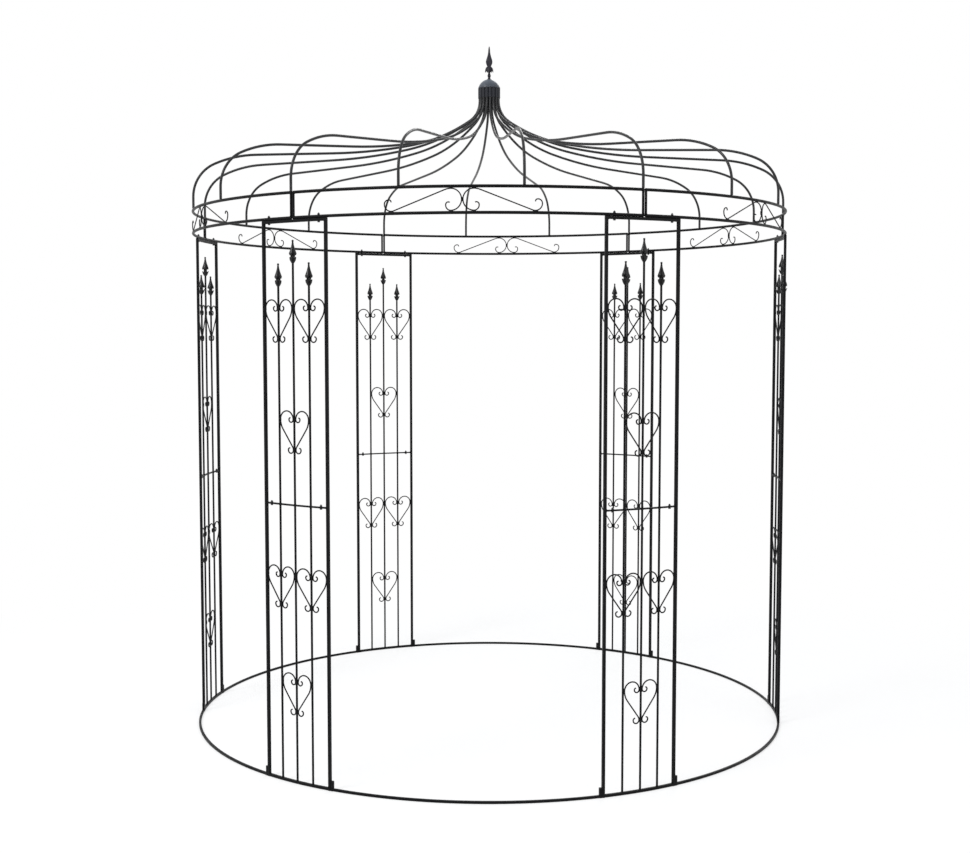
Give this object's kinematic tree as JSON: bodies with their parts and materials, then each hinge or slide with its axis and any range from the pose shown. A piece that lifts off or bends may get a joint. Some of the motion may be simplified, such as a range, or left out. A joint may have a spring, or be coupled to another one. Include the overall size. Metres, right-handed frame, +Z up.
{
  "type": "metal garden pavilion",
  "caption": "Round garden pavilion of black steel: trellis columns with hearts and spear tips, a scrolled ring and a roof of curved ribs under a dome and finial.",
  "frame": {"origin": "centre of the circle of columns, on the floor that they stand on", "axes": "+Z up; +X to the middle of column 1; -Y to the middle of a bay"},
  "size_m": [2.509, 2.4918, 2.8506],
  "materials": {
    "black_steel": "satin powder coat",
    "black_casting": "satin powder coat",
    "grey_casting": "satin powder coat"
  },
  "bodies": {
    "root": {"lower_panel_1": "black_steel", "lower_panel_2": "black_steel", "lower_panel_3": "black_steel", "lower_panel_4": "black_steel", "lower_panel_5": "black_steel", "lower_panel_6": "black_steel", "upper_panel_1": "black_steel", "upper_panel_2": "black_steel", "upper_panel_3": "black_steel", "upper_panel_4": "black_steel", "upper_panel_5": "black_steel", "upper_panel_6": "black_steel", "ring_segment_1": "black_steel", "ring_segment_2": "black_steel", "ring_segment_3": "black_steel", "ring_segment_4": "black_steel", "ring_segment_5": "black_steel", "ring_segment_6": "black_steel", "ground_arc_1": "black_steel", "ground_arc_2": "black_steel", "ground_arc_3": "black_steel", "ground_arc_4": "black_steel", "ground_arc_5": "black_steel", "ground_arc_6": "black_steel", "roof_rib_01": "black_steel", "roof_rib_02": "black_steel", "roof_rib_03": "black_steel", "roof_rib_04": "black_steel", "roof_rib_05": "black_steel", "roof_rib_06": "black_steel", "roof_rib_07": "black_steel", "roof_rib_08": "black_steel", "roof_rib_09": "black_steel", "roof_rib_10": "black_steel", "roof_rib_11": "black_steel", "roof_rib_12": "black_steel", "roof_rib_13": "black_steel", "roof_rib_14": "black_steel", "roof_rib_15": "black_steel", "roof_rib_16": "black_steel", "roof_rib_17": "black_steel", "roof_rib_18": "black_steel", "dome_cap": "grey_casting", "finial": "black_casting"}
  },
  "joints": []
}
